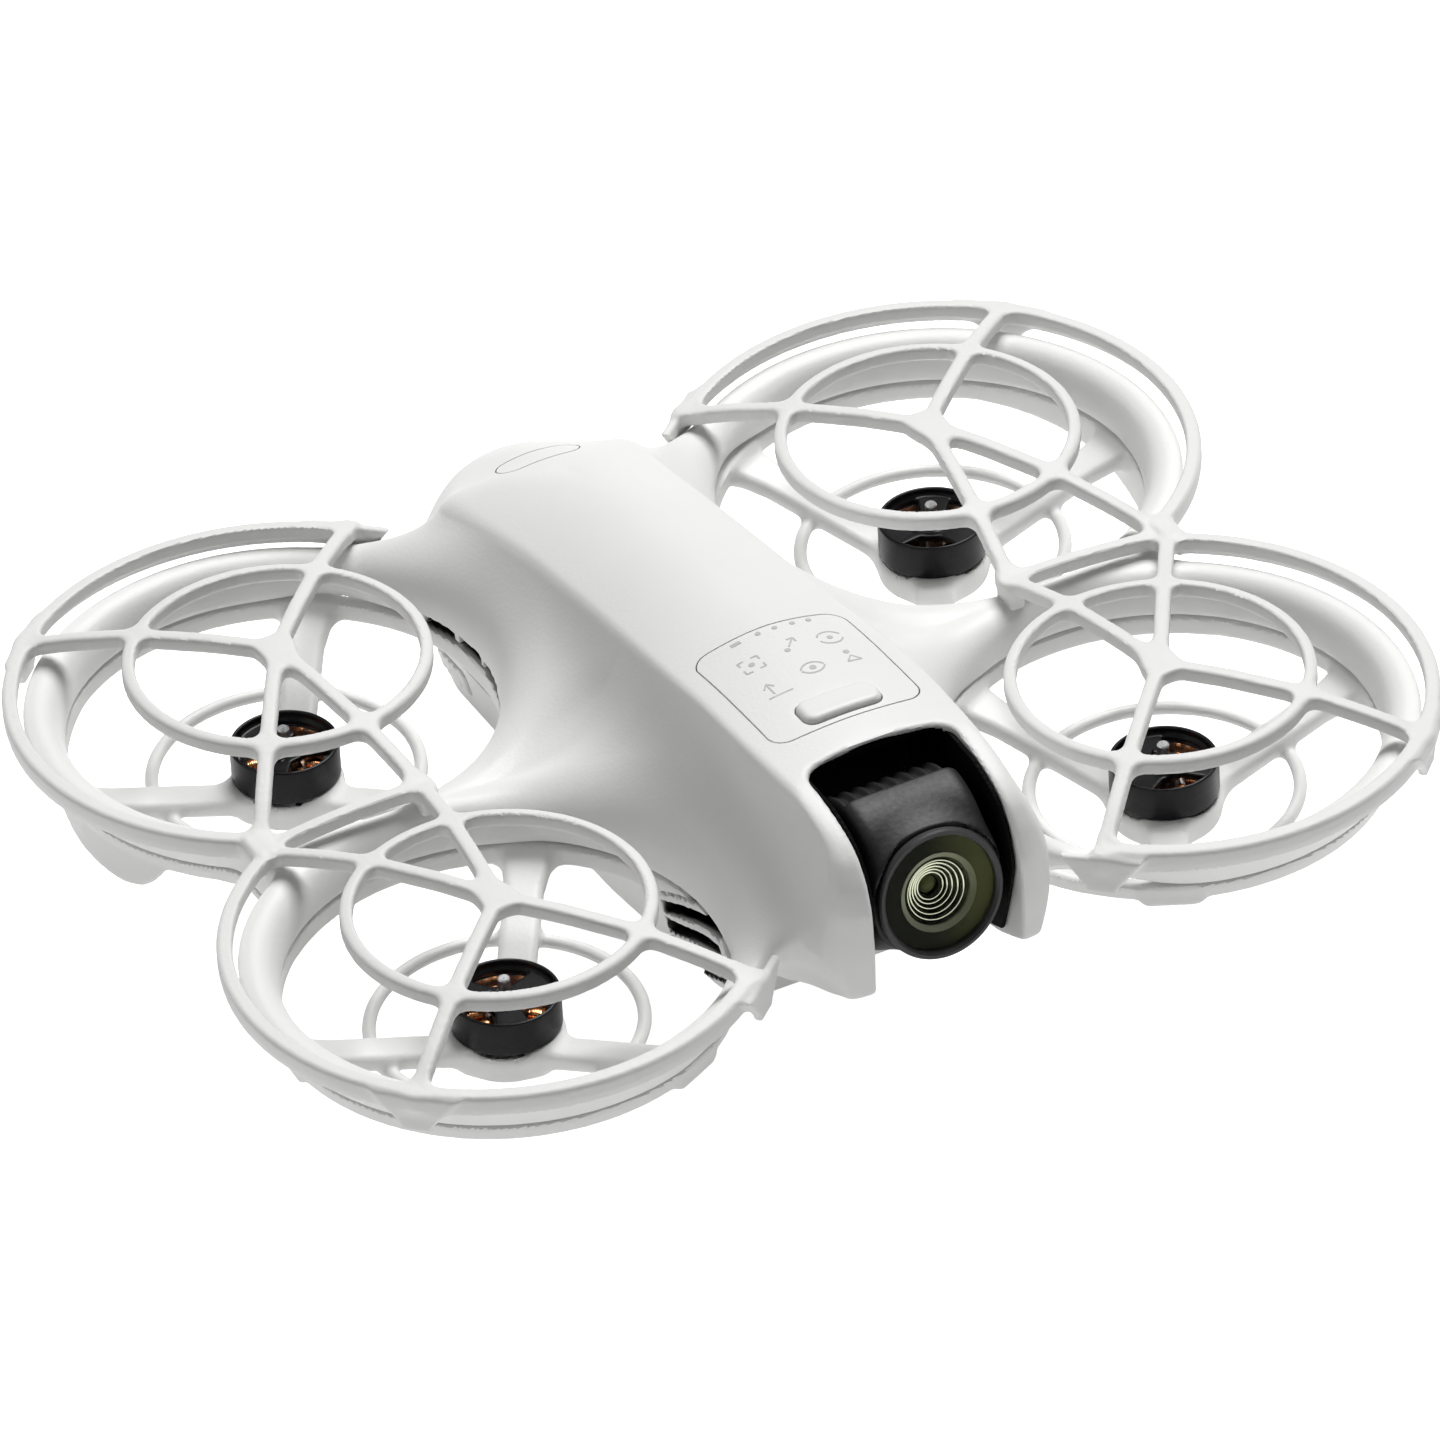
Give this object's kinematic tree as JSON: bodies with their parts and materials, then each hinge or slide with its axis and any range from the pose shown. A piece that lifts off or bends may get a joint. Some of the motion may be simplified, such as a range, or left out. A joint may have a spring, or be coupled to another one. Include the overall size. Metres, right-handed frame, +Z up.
{
  "type": "ducted quadcopter drone",
  "caption": "Palm-size quadcopter with ducted motors, lift-off bar guards, a tilting nose camera and a slide-out belly battery.",
  "frame": {"origin": "on the ground under the point midway between the four rotor axes", "axes": "+Z up, the nose and camera point along -Y, +X is the drone's left side"},
  "size_m": [0.157, 0.1258, 0.049],
  "materials": {
    "shell_white": "fine-grained matte",
    "guard_white": "fine-grained matte",
    "battery_white": "fine-grained matte",
    "camera_black": "satin",
    "lens_ring_grey": "satin",
    "lens_glass": "coated glass",
    "smoked_window": "glossy",
    "bell_black": "satin",
    "copper_wire": "enamelled copper",
    "motor_steel": "machined",
    "hardware_steel": "machined",
    "circuit_board": "solder mask",
    "heat_spreader_metal": "milled",
    "antenna_ceramic": "ceramic",
    "cell_pouch": "foil pouch",
    "inner_black": "matte"
  },
  "bodies": {
    "airframe": {"upper_shell": "shell_white", "lower_frame": "shell_white", "belly_pan": "shell_white", "control_panel": "shell_white", "level_light_guide": "smoked_window", "bay_liner": "camera_black", "tilt_motor": "hardware_steel", "tilt_bush": "hardware_steel", "main_board": "circuit_board", "heat_spreader": "heat_spreader_metal", "satellite_antenna": "antenna_ceramic", "charging_port": "hardware_steel", "battery_contacts": "inner_black", "downward_sensor": "inner_black", "sensor_window": "smoked_window", "inner_web_screw_left": "hardware_steel", "inner_web_screw_right": "hardware_steel", "outer_web_screw_left": "hardware_steel", "outer_web_screw_right": "hardware_steel", "stator_core_front_left": "motor_steel", "winding_front_left": "copper_wire", "bearing_front_left": "motor_steel", "stator_core_front_right": "motor_steel", "winding_front_right": "copper_wire", "bearing_front_right": "motor_steel", "stator_core_rear_left": "motor_steel", "winding_rear_left": "copper_wire", "bearing_rear_left": "motor_steel", "stator_core_rear_right": "motor_steel", "winding_rear_right": "copper_wire", "bearing_rear_right": "motor_steel"},
    "camera": {"camera_housing": "camera_black", "lens_ring": "lens_ring_grey", "lens_glass": "lens_glass", "lens_barrel": "camera_black", "image_sensor_board": "circuit_board"},
    "guard_left": {"guard_left": "guard_white"},
    "guard_right": {"guard_right": "guard_white"},
    "mode_button": {"mode_button": "shell_white"},
    "power_button": {"power_button": "shell_white"},
    "battery": {"battery_tray": "battery_white", "battery_lid": "battery_white", "battery_cell_left": "cell_pouch", "battery_cell_right": "cell_pouch"},
    "battery_latch_left": {"battery_latch_left": "battery_white"},
    "battery_latch_right": {"battery_latch_right": "battery_white"},
    "rotor_front_left": {"motor_bell_front_left": "bell_black", "magnet_ring_front_left": "motor_steel", "motor_shaft_front_left": "motor_steel"},
    "rotor_front_right": {"motor_bell_front_right": "bell_black", "magnet_ring_front_right": "motor_steel", "motor_shaft_front_right": "motor_steel"},
    "rotor_rear_left": {"motor_bell_rear_left": "bell_black", "magnet_ring_rear_left": "motor_steel", "motor_shaft_rear_left": "motor_steel"},
    "rotor_rear_right": {"motor_bell_rear_right": "bell_black", "magnet_ring_rear_right": "motor_steel", "motor_shaft_rear_right": "motor_steel"}
  },
  "joints": [
    {"name": "camera_tilt", "type": "hinge", "parent": "airframe", "child": "camera", "pos_m": [0, -0.0465, 0.0354], "axis": [1, 0, 0], "range_deg": [-48, 102]},
    {"name": "rotor_spin_front_left", "type": "hinge", "parent": "airframe", "child": "rotor_front_left", "pos_m": [0.045, -0.0295, 0.0185], "axis": [0, 0, 1], "continuous": true},
    {"name": "rotor_spin_front_right", "type": "hinge", "parent": "airframe", "child": "rotor_front_right", "pos_m": [-0.045, -0.0295, 0.0185], "axis": [0, 0, 1], "continuous": true},
    {"name": "rotor_spin_rear_left", "type": "hinge", "parent": "airframe", "child": "rotor_rear_left", "pos_m": [0.045, 0.0295, 0.0185], "axis": [0, 0, 1], "continuous": true},
    {"name": "rotor_spin_rear_right", "type": "hinge", "parent": "airframe", "child": "rotor_rear_right", "pos_m": [-0.045, 0.0295, 0.0185], "axis": [0, 0, 1], "continuous": true},
    {"name": "guard_lift_left", "type": "slide", "parent": "airframe", "child": "guard_left", "axis": [0, 0, 1], "range_m": [0, 0.025]},
    {"name": "guard_lift_right", "type": "slide", "parent": "airframe", "child": "guard_right", "axis": [0, 0, 1], "range_m": [0, 0.025]},
    {"name": "mode_button_press", "type": "slide", "parent": "airframe", "child": "mode_button", "axis": [0, 0, -1], "range_m": [0, 0.0004]},
    {"name": "power_button_press", "type": "slide", "parent": "airframe", "child": "power_button", "axis": [0, -0.3939, -0.9191], "range_m": [0, 0.0004]},
    {"name": "battery_slide", "type": "slide", "parent": "airframe", "child": "battery", "axis": [0, 1, 0], "range_m": [0, 0.05]},
    {"name": "battery_latch_left_press", "type": "slide", "parent": "battery", "child": "battery_latch_left", "axis": [-1, 0, 0], "range_m": [0, 0.001]},
    {"name": "battery_latch_right_press", "type": "slide", "parent": "battery", "child": "battery_latch_right", "axis": [1, 0, 0], "range_m": [0, 0.001]}
  ]
}
